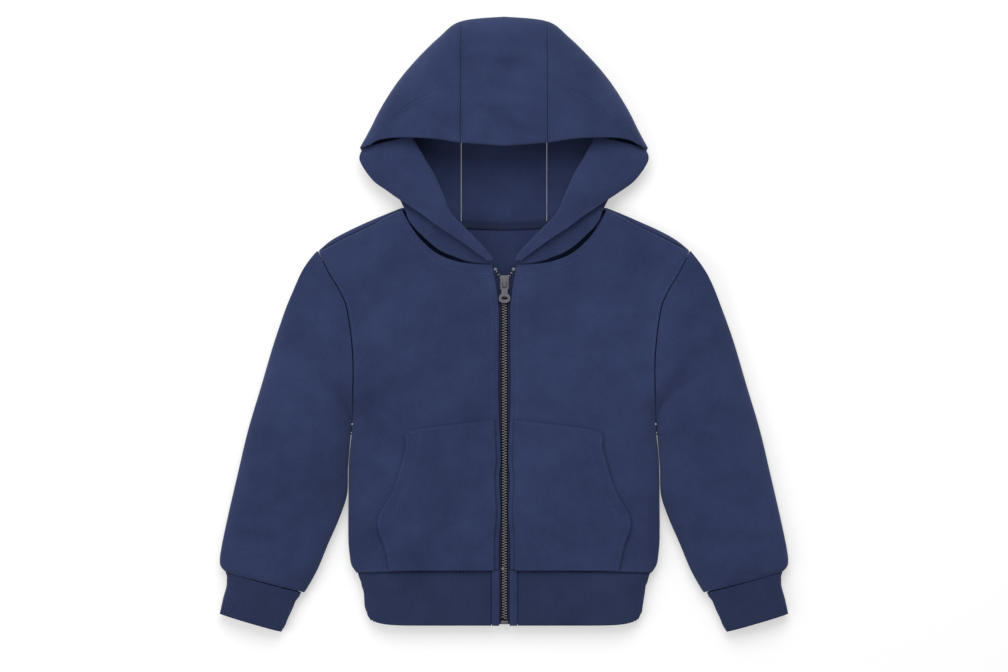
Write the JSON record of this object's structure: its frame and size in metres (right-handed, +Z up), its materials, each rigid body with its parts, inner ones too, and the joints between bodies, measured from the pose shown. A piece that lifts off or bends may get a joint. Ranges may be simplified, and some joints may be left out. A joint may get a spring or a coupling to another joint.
{
  "type": "zip-up hooded sweatshirt laid flat, front up",
  "caption": "Child's zip-up hooded sweatshirt with kangaroo pockets and rib cuffs and waist, laid flat with the front up.",
  "frame": {"origin": "middle of the garment's outline in plan, on the surface it lies on", "axes": "+X across the garment to the viewer's right, +Y from the waist to the hood, +Z up from the surface through the front"},
  "size_m": [0.5418, 0.5852, 0.0472],
  "materials": {
    "fleece": "garment-dyed cotton fleece, matt, rubbed pale along seams",
    "rib": "cotton rib knit, matt",
    "tape": "woven cotton tape, matt",
    "zip_metal": "dark gunmetal, worn bright on its edges"
  },
  "bodies": {
    "garment": {"front_left": "fleece", "front_right": "fleece", "back": "fleece", "sleeve_left": "fleece", "sleeve_right": "fleece", "cuff_left": "rib", "cuff_right": "rib", "waist_rib": "rib", "rib_strip_left": "fleece", "rib_strip_right": "fleece", "pocket_left": "fleece", "pocket_right": "fleece", "hood_centre": "fleece", "hood_left": "fleece", "hood_turn_left": "fleece", "hood_right": "fleece", "hood_turn_right": "fleece", "neck_tape": "tape", "zip_chain_left": "zip_metal", "zip_tape_left": "tape", "zip_stop_left": "zip_metal", "zip_chain_right": "zip_metal", "zip_tape_right": "tape", "zip_stop_right": "zip_metal", "zip_box": "zip_metal", "zip_slider": "zip_metal"},
    "pull_tab": {"zip_pull": "zip_metal"}
  },
  "joints": [
    {"name": "pull_lift", "type": "hinge", "parent": "garment", "child": "pull_tab", "pos_m": [0.0005, 0.0407, 0.023], "axis": [-1, 0, 0], "range_deg": [0, 120]}
  ]
}
